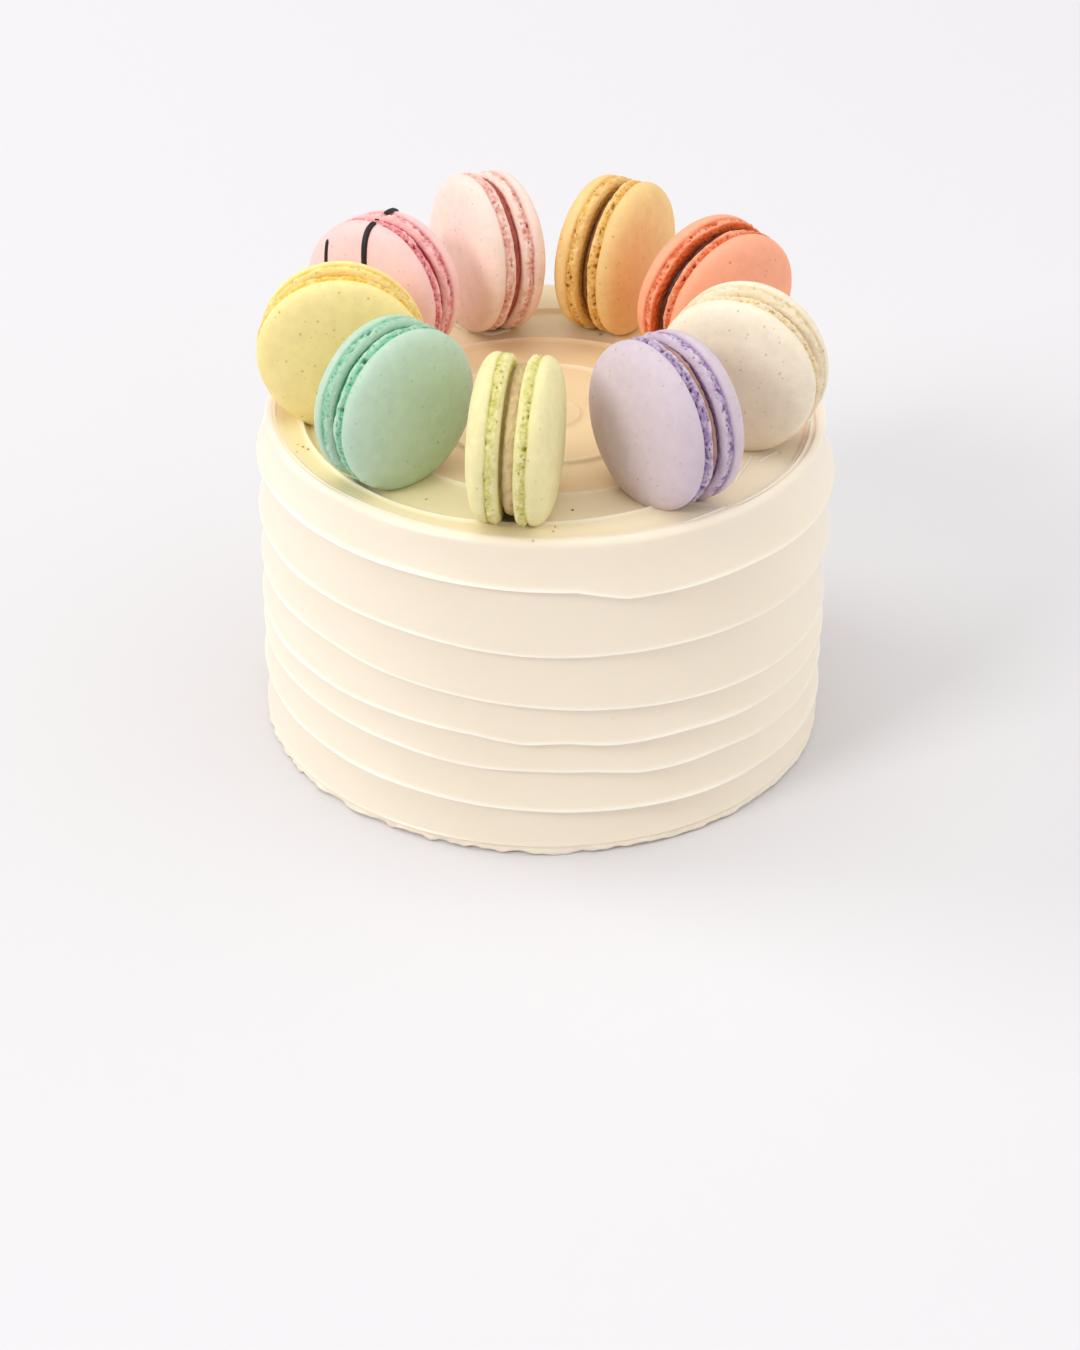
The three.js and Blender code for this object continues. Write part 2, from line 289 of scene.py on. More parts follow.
def sideRadius(angle, height, inset):
    # the hand-swept side is never quite round
    swell = 0.35 * roundNoise(angle, side["radius"], 55, height * 0.8)
    ripple = 0.1 * roundNoise(angle, side["radius"], 12, height * 2 + 200)
    return side["radius"] + side["shift"] * math.cos(angle) - inset + swell + ripple


def bottomRings():
    edge = bottomEdge

    def raggedness(angle):
        return 0.35 + 0.75 * smoothStep(0.5 + 0.6 * math.cos(angle - math.radians(edge["raggedAt"])))

    def torn(angle):
        length, depth = edge["coarse"]
        fineLength, fineDepth = edge["fine"]
        coarse = depth * roundNoise(angle, side["radius"], length, 31)
        fine = fineDepth * roundNoise(angle, side["radius"], fineLength, 77)
        return (coarse + fine) * raggedness(angle)

    def lifted(angle):
        return edge["lift"] * raggedness(angle) * roundNoise(angle, side["radius"], 4, 120)

    def fixed(radius, height):
        return lambda angle: (radius, height)

    def ragged(inset, height, share):
        return lambda angle: (
            edge["ledgeRadius"] - inset + side["shift"] * math.cos(angle) + share * torn(angle),
            height + share * lifted(angle),
        )

    standing = edge["standingRadius"]
    ledge = edge["ledgeHeight"]
    return [
        fixed(0, 0), fixed(40, 0), fixed(70, 0),
        fixed(standing - 1, 0), fixed(standing, 0), fixed(standing + 0.1, 0.25),
        ragged(0.9, 0.45, 0.5), ragged(0.3, ledge * 0.62, 0.9), ragged(0, ledge, 1),
        ragged(0.1, ledge + 0.45, 0.8), ragged(0.4, ledge + 0.9, 0.5), ragged(0.55, ledge + 1.3, 0.2),
    ]


def bandInset(low, high, bead, depth, height):
    share = min(max((height - low) / (high - low), 0), 1)
    scoop = depth * (1 - (1 - share) ** side["scoopFullness"])
    return scoop - bead * math.exp(-(((height - low) / side["beadHeight"]) ** 2))


def bandRings():
    # one lip after another, each with its underside, its nose and the hollow band above it
    rings = []
    edge = bottomEdge
    depth = side["scoopDepth"]
    bandShares = (0.12, 0.24, 0.38, 0.54, 0.72, 0.88)

    def edgeBead(angle):
        # the lowest lip shows round the left and sinks away towards the right
        return side["edgeBead"] * smoothStep(0.5 - 0.9 * math.cos(angle))

    def pointAt(angle, height, inset):
        return sideRadius(angle, height, inset), height

    def lowEnd(k, angle):
        return edge["lipHeight"] if k < 0 else lipHeight(side["lips"][k], angle)

    def beadOf(k, angle):
        return edgeBead(angle) if k < 0 else lipBead(side["lips"][k], angle)

    def bandPoint(k, angle, height):
        low = lowEnd(k, angle)
        high = lipHeight(side["lips"][k + 1], angle) - side["underside"]
        return pointAt(angle, height, bandInset(low, high, beadOf(k, angle), depth, height))

    def underPoint(k, angle, offset):
        nose = lowEnd(k, angle)
        bead = beadOf(k, angle)
        share = 1 - (1 - offset / side["underside"]) ** 3
        return pointAt(angle, nose - offset, lerp(-bead, depth, share))

    for k in range(-1, len(side["lips"]) - 1):
        if k >= 0:
            rings += [lambda angle, k=k, o=offset: underPoint(k, angle, o) for offset in side["underOffsets"]]
        for offset in side["overOffsets"]:
            rings.append(lambda angle, k=k, o=offset: bandPoint(k, angle, lowEnd(k, angle) + o))
        for share in bandShares:
            def ring(angle, k=k, share=share):
                low = lowEnd(k, angle) + side["overOffsets"][-1]
                high = lipHeight(side["lips"][k + 1], angle) - side["underside"]
                return bandPoint(k, angle, lerp(low, high, share))
            rings.append(ring)
    last = len(side["lips"]) - 1
    rings += [lambda angle, o=offset: underPoint(last, angle, o) for offset in side["underOffsets"]]
    return rings


def rimRings():
    # the top band, then the soft edge that rolls over on to the top
    lip = side["lips"][-1]
    rollStart = top["rollStart"]

    def bandPoint(angle, height):
        low = lipHeight(lip, angle)
        share = (height - low) / (rollStart - low)
        inset = bandInset(low, rollStart, lipBead(lip, angle), top["bandDepth"], height)
        flare = side["radius"] + side["shift"] * math.cos(angle) - top["rimRadius"]
        leaning = (flare - top["bandDepth"]) * (1 - (1 - min(share, 1)) ** 2)
        return sideRadius(angle, height, inset + leaning), height

    offsets = side["overOffsets"]
    rings = [lambda angle, o=offset: bandPoint(angle, lipHeight(lip, angle) + o) for offset in offsets]
    for share in (0.12, 0.24, 0.38, 0.54, 0.7, 0.85, 1.0):
        def ring(angle, share=share):
            low = lipHeight(lip, angle) + offsets[-1]
            return bandPoint(angle, lerp(low, rollStart, share))
        rings.append(ring)
    roll = ((0.06, 0.45), (0.22, 0.85), (0.5, 1.25), (0.85, 1.55), (1.25, 1.8), (1.6, 1.95), (1.8, 2.0))

    def rollPoint(angle, inset, rise):
        swell = 0.35 * roundNoise(angle, side["radius"], 55, 80)
        lift = 0.25 * roundNoise(angle, side["radius"], 40, 300)
        return top["rimRadius"] - inset + swell, rollStart + rise + lift * rise / 2

    rings += [lambda angle, i=inset, r=rise: rollPoint(angle, i, r) for inset, rise in roll]
    return rings


def topRingRadius(ring, angle):
    wander = -ring["wander"] * math.sin(angle) + 0.7 * ring["wander"] * math.cos(2 * angle)
    wavy = sum(waveAt(angle, wave) for wave in ring.get("waves", ()))
    return ring["radius"] + wander + seamDrift(angle, ring["seam"]) + wavy


def topRings():
    # each ring: a shallow trough, a short riser to a thin crest, and a softer fall inside it
    rings = []

    def uneven(angle, radius, height):
        x, y = radius * math.cos(angle), radius * math.sin(angle)
        slow = 0.16 * noise.noise(Vector((x, y, 0)) / 26)
        quick = 0.05 * noise.noise(Vector((x, y, 50)) / 6)
        return radius, height + slow + quick

    outer = lambda angle: top["crestRadius"] - 0.15
    outerHeight = top["rimHeight"] - 0.02
    for number, ring in enumerate(top["rings"]):
        trough = min(outerHeight, ring["crest"]) - ring["sag"]
        rise = ring["crest"] - trough
        first = number == 0

        def troughPoint(
            angle, share, outer=outer, outerHeight=outerHeight, ring=ring, trough=trough, first=first,
        ):
            inner = topRingRadius(ring, angle) + top["riserWidth"]
            radius = lerp(outer(angle), inner, share)
            height = lerp(outerHeight, trough, smoothStep(share))
            if first:
                # falls over the rim's slope, a little deeper near the rim, past a thin second line
                inwards = outer(angle) - radius
                lineAt, lineHeight = top["rimLine"]
                patchy = 0.6 * smoothStep(0.5 - math.cos(angle)) + roundNoise(angle, side["radius"], 18, 410)
                patchy = max(patchy, 0)
                height = trough + (outerHeight - trough) * (1 - smoothStep(inwards / top["rimSlope"])) ** 1.3
                height -= top["rimStep"] * (1 - smoothStep((share - 0.3) / 0.7)) * smoothStep(inwards / 2)
                height += lineHeight * patchy * math.exp(-(((inwards - lineAt) / 0.28) ** 2))
            return uneven(angle, radius, height)

        def riserPoint(angle, offset, share, ring=ring, trough=trough, rise=rise):
            return uneven(angle, topRingRadius(ring, angle) + offset, trough + rise * share)

        def fallPoint(angle, offset, share, ring=ring):
            return uneven(angle, topRingRadius(ring, angle) - offset, ring["crest"] - ring["drop"] * share)

        nearRim = (0.02, 0.04, 0.06, 0.085, 0.105, 0.125, 0.145, 0.17, 0.2, 0.26, 0.35, 0.47, 0.6, 0.75, 0.9)
        shares = nearRim if first else (0.15, 0.3, 0.45, 0.6, 0.75, 0.9)
        rings += [lambda angle, s=share, f=troughPoint: f(angle, s) for share in shares]
        risers = ((1.5, 0), (1.15, 0.08), (0.85, 0.27), (0.6, 0.52), (0.38, 0.76), (0.2, 0.93), (0.05, 1.0))
        rings += [lambda angle, o=offset, s=share, f=riserPoint: f(angle, o, s) for offset, share in risers]
        falls = ((0.12, 0.03), (0.3, 0.14), (0.6, 0.38), (1.0, 0.66), (1.55, 0.9), (2.2, 1.0))
        rings += [lambda angle, o=offset, s=share, f=fallPoint: f(angle, o, s) for offset, share in falls]
        outer = lambda angle, ring=ring: topRingRadius(ring, angle) - top["fallWidth"]
        outerHeight = ring["crest"] - ring["drop"]
    rings += [lambda angle, r=radius: uneven(angle, r, top["centreHeight"] - 0.05) for radius in (5.0, 2.5)]
    rings.append(lambda angle: (0, top["centreHeight"]))
    return rings


# The macarons, round the ring from the front. Turn is the axis's departure from the ring's
# tangent and lean its rise; the a shell is on the side that the angles count to. Dome is the
# colour of the crown. Foot is the colour of painted shade on the foot, in the frill's hollows, towards
# the crease under the dome and along the groove by the filling, and pit the colour of painted shade
# inside the foot's holes; inner is how much of the foot's painted shade lies along the edges of the a
# and b shells. Holes is how open the foot is, sunk how far the filling has drawn back, and ribbon
# the part of the gap that it takes up, from -1 at the b shell to 1.
macaronForm = {
    "restHeight": 95.5,
    "footHeight": 3.2,
    "shoulder": 1.2,
    "roundness": 0.62,
    "domePower": 0.87,
    "footRuffle": 0.22,
    "steps": 480,
    "fillingSteps": 320,
    "fillingRows": 14,
    "footRows": 16,
    "domeRows": 22,
}

macarons = [
    {
        "name": "lime", "angle": -97.5, "ringRadius": 58.5, "turn": 0.3, "lean": -0.7,
        "diameter": 45.8, "thickness": 24.3, "gap": 4.0, "fillingInset": 2.4,
        "dome": "eee4ac", "foot": "d8d076", "pitShade": "b3ab34", "filling": "d6bd8c", "speck": "b9a765",
        "inner": (0.15, 0.15), "sunk": 0.5, "holes": 0.62, "ribbon": (-0.45, 1.0),
    },
    {
        "name": "lavender", "angle": -55.5, "ringRadius": 56.8, "turn": 2.0, "lean": 0.7,
        "diameter": 46.9, "thickness": 26.0, "gap": 2.6, "fillingInset": 1.2,
        "dome": "d4c4cd", "foot": "a083b2", "pitShade": "432863", "filling": "ae8274", "speck": "9a8478",
        "inner": (0.25, 0.1), "sunk": 0.2, "holes": 1.5, "ribbon": (-1.0, 0.2),
    },
    {
        "name": "cream", "angle": -14.6, "ringRadius": 56.5, "turn": -9.9, "lean": 3.4,
        "diameter": 46.4, "thickness": 24.4, "gap": 1.8, "fillingInset": 1.6,
        "dome": "f4e6cf", "foot": "ebd09a", "pitShade": "cfa862", "filling": "d8bb85", "speck": "a8977c",
        "inner": (0.3, 0.3), "sunk": 0.3, "holes": 0.5, "ribbon": (-1.0, 1.0),
    },
    {
        "name": "coral", "angle": 33.0, "ringRadius": 58.4, "turn": 6.8, "lean": 7.2,
        "diameter": 45.8, "thickness": 26.6, "gap": 3.2, "fillingInset": 1.2,
        "dome": "fdae8b", "foot": "df6430", "pitShade": "a8360f", "filling": "462419", "speck": "c86a4a",
        "inner": (1.0, 0.15), "sunk": 0.3, "holes": 0.75, "ribbon": (-1.0, 0.1),
    },
    {
        "name": "tan", "angle": 71.1, "ringRadius": 62.6, "turn": -9.2, "lean": -0.1,
        "diameter": 46.0, "thickness": 24.6, "gap": 2.8, "fillingInset": 1.8,
        "dome": "f2cd8c", "foot": "e6ab49", "pitShade": "a87a34", "filling": "7c5028", "speck": "b4802f",
        "inner": (0.4, 0.35), "sunk": 0.4, "holes": 0.8, "ribbon": (-1.0, 0.0),
    },
    {
        "name": "blush", "angle": 107.5, "ringRadius": 61.4, "turn": 9.1, "lean": 2.8,
        "diameter": 47.4, "thickness": 23.2, "gap": 2.2, "fillingInset": 1.4,
        "dome": "f7ddd1", "foot": "e8a495", "pitShade": "ca6a54", "filling": "b0584a", "speck": "d89a86",
        "inner": (0.1, 0.1), "sunk": 0.6, "holes": 0.6, "ribbon": (-1.0, 1.0),
    },
    {
        "name": "pink", "angle": 145.6, "ringRadius": 58.0, "turn": -0.6, "lean": 3.1,
        "diameter": 45.2, "thickness": 24.8, "gap": 1.8, "fillingInset": 1.4,
        "dome": "fbcdc8", "foot": "e0707a", "pitShade": "b4202a", "filling": "b4303a", "speck": "dc8a8a",
        "inner": (0.2, 0.25), "sunk": 0.3, "holes": 0.8, "ribbon": (-1.0, 1.0),
    },
    {
        "name": "lemon", "angle": -173.3, "ringRadius": 57.5, "turn": -4.5, "lean": -1.2,
        "diameter": 47.0, "thickness": 21.6, "gap": 1.8, "fillingInset": 1.4,
        "dome": "fbe59e", "foot": "f0c03a", "pitShade": "cf962a", "filling": "e8ae30", "speck": "a98a3c",
        "inner": (0.95, 0.25), "sunk": 0.3, "holes": 0.4, "ribbon": (-1.0, 1.0),
    },
    {
        "name": "mint", "angle": -136.6, "ringRadius": 56.4, "turn": 1.5, "lean": 0.8,
        "diameter": 45.9, "thickness": 22.2, "gap": 1.8, "fillingInset": 1.4,
        "dome": "bed6bf", "foot": "7cc4a0", "pitShade": "34885f", "filling": "3f8a63", "speck": "8f9a55",
        "inner": (0.3, 0.2), "sunk": 0.5, "holes": 0.85, "ribbon": (-1.0, 1.0),
    },
]


def macaronPlace(macaron):
    # where the macaron's own frame stands: +X along its axis, +Z up
    around = math.radians(macaron["angle"])
    lean = math.radians(macaron["lean"])
    height = macaronForm["restHeight"] + macaron["diameter"] / 2 * math.cos(lean)
    distance = macaron["ringRadius"]
    centre = Vector((distance * math.cos(around), distance * math.sin(around), height))
    turn = around + math.pi / 2 + math.radians(macaron["turn"])
    return Matrix.Translation(centre) @ Matrix.Rotation(turn, 4, "Z") @ Matrix.Rotation(-lean, 4, "Y")


def domeHeight(macaron, distance):
    share = min(distance / (macaron["diameter"] / 2), 1)
    tilt = math.acos(share ** (1 / macaronForm["roundness"]))
    start = macaronForm["footHeight"] + macaronForm["shoulder"]
    rise = (macaron["thickness"] - macaron["gap"]) / 2 - start
    return start + rise * math.sin(tilt) ** macaronForm["domePower"]


def radiusAlong(macaron, along):
    # the macaron's radius at a distance from its middle, along its axis
    radius = macaron["diameter"] / 2
    along = abs(along)
    if along < macaron["gap"] / 2:
        return radius - macaron["fillingInset"]
    start = macaronForm["footHeight"] + macaronForm["shoulder"]
    rise = (macaron["thickness"] - macaron["gap"]) / 2 - start
    share = (along - macaron["gap"] / 2 - start) / rise
    if share <= 0:
        return radius - 0.2
    if share >= 1:
        return 0.0
    tilt = math.asin(share ** (1 / macaronForm["domePower"]))
    return radius * math.cos(tilt) ** macaronForm["roundness"]


# How the frosting meets the macarons. The top is all that lies above topFrom.
frosting = {
    "pushUp": 0.5,
    "pushReach": 0.9,
    "sink": 0.4,
    "topFrom": 95,
    "pressRadius": 76,
    "pressHalfWidth": 22,
}


def pressMacarons(bm):
    # the frosting rises a little against each macaron and follows its underside below it
    places = [(macaron, macaronPlace(macaron).inverted()) for macaron in macarons]
    for vert in bm.verts:
        if vert.co.z < frosting["topFrom"] or vert.co.xy.length > frosting["pressRadius"]:
            continue
        for macaron, inverse in places:
            local = inverse @ vert.co
            if abs(local.x) > macaron["thickness"] / 2 + 1 or abs(local.y) > frosting["pressHalfWidth"]:
                continue
            radius = radiusAlong(macaron, local.x)
            if radius <= abs(local.y):
                continue
            under = -math.sqrt(radius ** 2 - local.y ** 2) - local.z
            patchy = 0.75 + 0.8 * noise.noise(vert.co / 5)
            vert.co.z += frosting["pushUp"] * patchy * math.exp(-max(under, 0) / frosting["pushReach"])
            vert.co.z = min(vert.co.z, vert.co.z + under + frosting["sink"])


def buttercream():
    # Buttercream, spread and smoothed with a warm palette knife: an ivory satin that light
    # enters a few millimetres deep, with faint drag marks along the strokes and tiny air pits.
    material, shader, place = newMaterial("buttercream spread smooth")
    tone = texture(material, "Noise", place, {"Scale": 22.0, "Detail": 3.0, "Roughness": 0.5})
    ivory = blend(material, tone.outputs["Fac"], linear("f7e8d2"), linear("f9ecd9"))
    paintedBounce = addNode(material, "ShaderNodeAttribute", {"attribute_name": "paintedBounce"})
    paintedYellowBounce = addNode(material, "ShaderNodeAttribute", {"attribute_name": "paintedYellowBounce"})
    paintedHighlight = addNode(material, "ShaderNodeAttribute", {"attribute_name": "paintedHighlight"})
    # painted bounce light: the cream deeper and warmer inside the ring of macarons
    bounceTinted = blend(material, paintedBounce.outputs["Fac"], ivory, linear("f8deb2"))
    # painted yellow reflected light along the front and left of the top
    yellowBounceTinted = blend(material, paintedYellowBounce.outputs["Fac"], bounceTinted, linear("f8e8b2"))
    # painted highlight along lips and crests
    highlighted = blend(material, paintedHighlight.outputs["Fac"], yellowBounceTinted, linear("fefaf2"))
    specks = texture(material, "Voronoi", place, {"Scale": 90.0, "Randomness": 1.0})
    speckSize = addNode(
        material, "ShaderNodeMapRange",
        {"From Min": 0.02, "From Max": 0.08, "To Min": 0.7, "To Max": 0.0},
        {"Value": specks.outputs["Distance"]},
    )
    rareSpecks = addNode(
        material, "ShaderNodeMapRange", {"From Min": 0.88, "From Max": 0.92},
        {"Value": specks.outputs["Color"]},
    )
    speckMask = addNode(
        material, "ShaderNodeMath", {"operation": "MULTIPLY"},
        {0: speckSize.outputs["Result"], 1: rareSpecks.outputs["Result"]},
    )
    speckled = blend(material, speckMask.outputs["Value"], highlighted, linear("e9d3a4"))
    drag = addNode(
        material, "ShaderNodeMapping", {"Scale": (28.0, 28.0, 900.0)},
        {"Vector": place},
    )
    dragMarks = texture(
        material, "Noise", drag.outputs["Vector"], {"Scale": 1.0, "Detail": 3.0, "Roughness": 0.6},
    )
    grain = texture(material, "Noise", place, {"Scale": 900.0, "Detail": 2.0})
    dragBump = addNode(
        material, "ShaderNodeBump", {"Strength": 0.25, "Distance": 0.0002},
        {"Height": dragMarks.outputs["Fac"]},
    )
    grainBump = addNode(
        material, "ShaderNodeBump", {"Strength": 0.15, "Distance": 0.0001},
        {"Height": grain.outputs["Fac"], "Normal": dragBump.outputs["Normal"]},
    )
    pitBump = addNode(
        material, "ShaderNodeBump", {"Strength": 0.8, "Distance": 0.0003, "invert": True},
        {"Height": speckMask.outputs["Value"], "Normal": grainBump.outputs["Normal"]},
    )
    gloss = addNode(
        material, "ShaderNodeMapRange", {"To Min": 0.27, "To Max": 0.38},
        {"Value": tone.outputs["Fac"]},
    )
    fillNode(
        material, shader,
        {
            "IOR": 1.45, "Subsurface Weight": 0.3, "Subsurface Scale": 0.003,
            "Subsurface Radius": (1.0, 0.75, 0.45),
        },
        {
            "Base Color": speckled,
            "Roughness": gloss.outputs["Result"],
            "Normal": pitBump.outputs["Normal"],
        },
    )
    return material


def shadeCream(bm):
    # The cream's colour carries painted light: painted bounce light, deeper and warmer inside the
    # ring of macarons; painted yellow reflected light along the front and left of the top; and a
    # painted highlight along each lip and crest, strongest towards the key light at the front left.
    paintedBounce = bm.verts.layers.float.new("paintedBounce")
    paintedYellowBounce = bm.verts.layers.float.new("paintedYellowBounce")
    paintedHighlight = bm.verts.layers.float.new("paintedHighlight")
    for vert in bm.verts:
        x, y, height = vert.co
        angle = math.atan2(y, x)
        distance = math.hypot(x, y)
        if height > frosting["topFrom"]:
            # painted bounce light inside the ring of macarons
            vert[paintedBounce] = smoothStep((54 - distance) / 10)
            # painted yellow reflected light, strongest on the left, inside the rim's crest and outside the
            # ring of macarons
            leftward = 0.5 - 0.5 * x / top["rimRadius"]
            inside = smoothStep((top["crestRadius"] - distance) / 4)
            vert[paintedYellowBounce] = 0.9 * leftward * inside * (1 - vert[paintedBounce])
            gap = min(abs(distance - topRingRadius(ring, angle)) for ring in top["rings"][:3])
        else:
            gap = min(abs(height - lipHeight(lip, angle)) for lip in side["lips"])
        # painted highlight along lips and crests, strongest towards the key light at the front left
        patchy = 0.25 * roundNoise(angle, side["radius"], 25, height / 4)
        highlightStrength = 0.45 + 0.2 * math.cos(angle - math.radians(225)) + patchy
        vert[paintedHighlight] = highlightStrength * math.exp(-((gap / 0.45) ** 2))


def makeFrosting(material):
    rings = bottomRings() + bandRings() + rimRings() + topRings()
    bm = spunMesh(rings, cakeSteps)
    pressMacarons(bm)
    shadeCream(bm)
    surface = BVHTree.FromBMesh(bm)
    piece = finishPiece(bm, "buttercream_frosting", material, "buttercream", "frosted_cake")
    print("frosting made:", len(rings), "rings,", len(piece.data.polygons), "faces")
    return surface


creamMaterial = buttercream()
frostingSurface = makeFrosting(creamMaterial)


def shellRings(macaron, sideName):
    form = macaronForm
    radius = macaron["diameter"] / 2
    phase = macaron["angle"] + (0 if sideName == "a" else 2.4)
    place = Vector((phase * 3.7, phase * 1.9, 0))
    foot = form["footHeight"]
    # how much painted shade the foot has along the groove by the filling
    inner = macaron["inner"][0 if sideName == "a" else 1]

    def oval(angle):
        return 1 + 0.009 * math.sin(2 * angle + phase) + 0.005 * math.sin(3 * angle + 2 * phase)

    def ruffle(angle):
        return form["footRuffle"] * (math.sin(6 * angle + phase) + 0.7 * math.sin(9 * angle + 3 * phase))

    def around(angle, distance, height):
        return Vector((distance * math.cos(angle), distance * math.sin(angle), height)) + place

    def flat(distance, height=0.0):
        return lambda angle: (distance * oval(angle), height, 0.0, 1.0)

    def bubble(spot, size, openness, seed):
        # open bubbles of about that size: 1 in the middle of one, 0 outside
        distances, cells = noise.voronoi(spot / size + Vector((0, seed, 0)))
        if noise.cell(cells[0] * 3.1) > 2 * openness - 1:
            return 0.0
        return 1 - smoothStep((distances[0] - 0.16) / 0.24)

    def footPoint(angle, share):
        # share runs up the foot from the filling's side to the crease under the dome: first a
        # smooth edge, then the frill with its bubbles
        inset = 0.05 + 1.4 * (1 - share) ** 6 + 0.6 * share ** 5
        tall = foot + 0.45 * roundNoise(angle, radius, 7, phase)
        height = tall * share
        spot = around(angle, radius, height)
        frilly = smoothStep((share - 0.14) / 0.2)
        crease = smoothStep((share - 0.38) / 0.35)
        frill = 0.3 * noise.noise(spot / 2.4)
        frill += lerp(0.12, 0.32, frilly) * noise.noise(spot / 1.0 + Vector((9, 0, 0)))
        frill += 0.18 * frilly * noise.noise(spot / 0.55 + Vector((0, 17, 0)))
        pore = bubble(spot, 1.05, macaron["holes"] * lerp(0.3, 0.85, crease) * frilly, 0)
        hollow = bubble(spot, 2.4, 0.5 * macaron["holes"] * crease, 40)
        # painted shade: the foot's colour gathers in the frill's hollows, towards the crease and, by inner,
        # along the groove by the filling
        paintedFootShade = lerp(inner, 0.3 - 1.7 * frill, frilly) + 0.45 * crease
        distance = radius - inset + ruffle(angle) * lerp(1, 0.6, share) + frill
        distance -= 0.4 * pore + 0.9 * hollow
        # the marks: painted shade inside the holes, then the foot's painted shade
        return distance * oval(angle), height, min(0.8 * pore + hollow, 1.0), min(max(paintedFootShade, 0.05), 1.0)

    def brimPoint(angle, inset, height, mark):
        tall = height + 0.45 * roundNoise(angle, radius, 7, phase) * mark
        frill = 0.2 * mark * noise.noise(around(angle, radius, height) / 1.2)
        distance = radius - inset + ruffle(angle) * 0.5 * mark + frill
        return distance * oval(angle), tall, 0.0, mark

    def domePoint(angle, tilt):
        distance = radius * math.cos(tilt) ** form["roundness"]
        height = domeHeight(macaron, distance)
        spot = around(angle, distance, height)
        swell = 0.3 * noise.noise(spot / 16) + 0.03 * noise.noise(spot / 2.5)
        return (distance + 0.3 * swell) * oval(angle), height + swell * math.sin(tilt), 0.0, 0.0

    rings = [lambda angle: (0, 0, 0.0, 1.0), flat(radius * 0.5), flat(radius - 3.5), flat(radius - 2.2)]
    for row in range(form["footRows"] + 1):
        rings.append(lambda angle, share=row / form["footRows"]: footPoint(angle, share))
    # the foot's painted shade fades out up the brim under the dome
    for inset, height, mark in ((0.6, 3.36, 0.7), (0.32, 3.56, 0.4), (0.12, 3.85, 0.2), (0.03, 4.12, 0.08)):
        rings.append(lambda angle, i=inset, h=height, m=mark: brimPoint(angle, i, h, m))
    for row in range(form["domeRows"]):
        rings.append(lambda angle, tilt=row / form["domeRows"] * math.pi / 2: domePoint(angle, tilt))
    apex = domeHeight(macaron, 0) + 0.3 * noise.noise((Vector((0, 0, domeHeight(macaron, 0))) + place) / 16)
    rings.append(lambda angle: (0, apex, 0.0, 0.0))
    return rings


def alongAxis(shift):
    # turns a form that was spun round +Z on to +X, that far along it
    return Matrix(((0, 0, 1, shift), (1, 0, 0, 0), (0, 1, 0, 0), (0, 0, 0, 1)))


def ontoAxis(macaron, sideName):
    # sends a shell's own frame, dome along +Z, to its side of the macaron's axis
    standing = alongAxis(macaron["gap"] / 2)
    turned = standing if sideName == "a" else Matrix.Rotation(math.pi, 4, "Z") @ standing
    return macaronPlace(macaron) @ turned


def meringue(macaron):
    # Almond meringue, baked: a matt, dry skin with ground almond showing as fine specks, and
    # below it a foot of open bubbles, with painted shade inside each hole and in the foot's hollows.
    material, shader, place = newMaterial(macaron["name"] + " baked meringue")
    pitShade = addNode(material, "ShaderNodeAttribute", {"attribute_name": "pitShade"})
    foot = addNode(material, "ShaderNodeAttribute", {"attribute_name": "foot"})
    # almond grains: about 0.4 mm across with soft edges, in under half of the 2 mm cells
    grains = texture(material, "Voronoi", place, {"Scale": 520.0})
    grainSize = addNode(
        material, "ShaderNodeMapRange", {"From Min": 0.1, "From Max": 0.27, "To Min": 1.0, "To Max": 0.0},
        {"Value": grains.outputs["Distance"]},
    )
    grainShare = addNode(
        material, "ShaderNodeMapRange", {"From Min": 0.6, "From Max": 0.95, "To Max": 0.75},
        {"Value": grains.outputs["Color"]},
    )
    grainMask = addNode(
        material, "ShaderNodeMath", {"operation": "MULTIPLY"},
        {0: grainSize.outputs["Result"], 1: grainShare.outputs["Result"]},
    )
    mottle = texture(material, "Noise", place, {"Scale": 260.0, "Detail": 4.0, "Roughness": 0.65})
    mottleShade = addNode(
        material, "ShaderNodeMapRange", {"From Min": 0.3, "From Max": 0.7, "To Min": 0.94, "To Max": 1.04},
        {"Value": mottle.outputs["Fac"]},
    )
    # painted shade of the foot, in its hollows, crease and groove
    skin = blend(material, foot.outputs["Fac"], linear(macaron["dome"]), linear(macaron["foot"]))
    specked = blend(material, grainMask.outputs["Value"], skin, linear(macaron["speck"]))
    # painted shade inside the foot's holes
    pitShaded = blend(material, pitShade.outputs["Fac"], specked, linear(macaron["pitShade"]))
    shaded = addNode(
        material, "ShaderNodeVectorMath", {"operation": "SCALE"},
        {0: pitShaded, "Scale": mottleShade.outputs["Result"]},
    )
    fine = texture(material, "Noise", place, {"Scale": 1500.0, "Detail": 3.0})
    fineBump = addNode(
        material, "ShaderNodeBump", {"Strength": 0.35, "Distance": 0.00015}, {"Height": fine.outputs["Fac"]},
    )
    crumb = texture(material, "Voronoi", place, {"Scale": 900.0})
    crumbHeight = addNode(
        material, "ShaderNodeMath", {"operation": "MULTIPLY"},
        {0: crumb.outputs["Distance"], 1: foot.outputs["Fac"]},
    )
    crumbBump = addNode(
        material, "ShaderNodeBump", {"Strength": 1.0, "Distance": 0.0006},
        {"Height": crumbHeight.outputs["Value"], "Normal": fineBump.outputs["Normal"]},
    )
    dry = addNode(
        material, "ShaderNodeMapRange", {"To Min": 0.68, "To Max": 0.9}, {"Value": foot.outputs["Fac"]},
    )
    fillNode(
        material, shader,
        {
            "IOR": 1.4, "Subsurface Weight": 0.12, "Subsurface Scale": 0.002,
            "Subsurface Radius": (1.0, 0.8, 0.6),
        },
        {
            "Base Color": shaded.outputs["Vector"],
            "Roughness": dry.outputs["Result"],
            "Normal": crumbBump.outputs["Normal"],
        },
    )
    return material


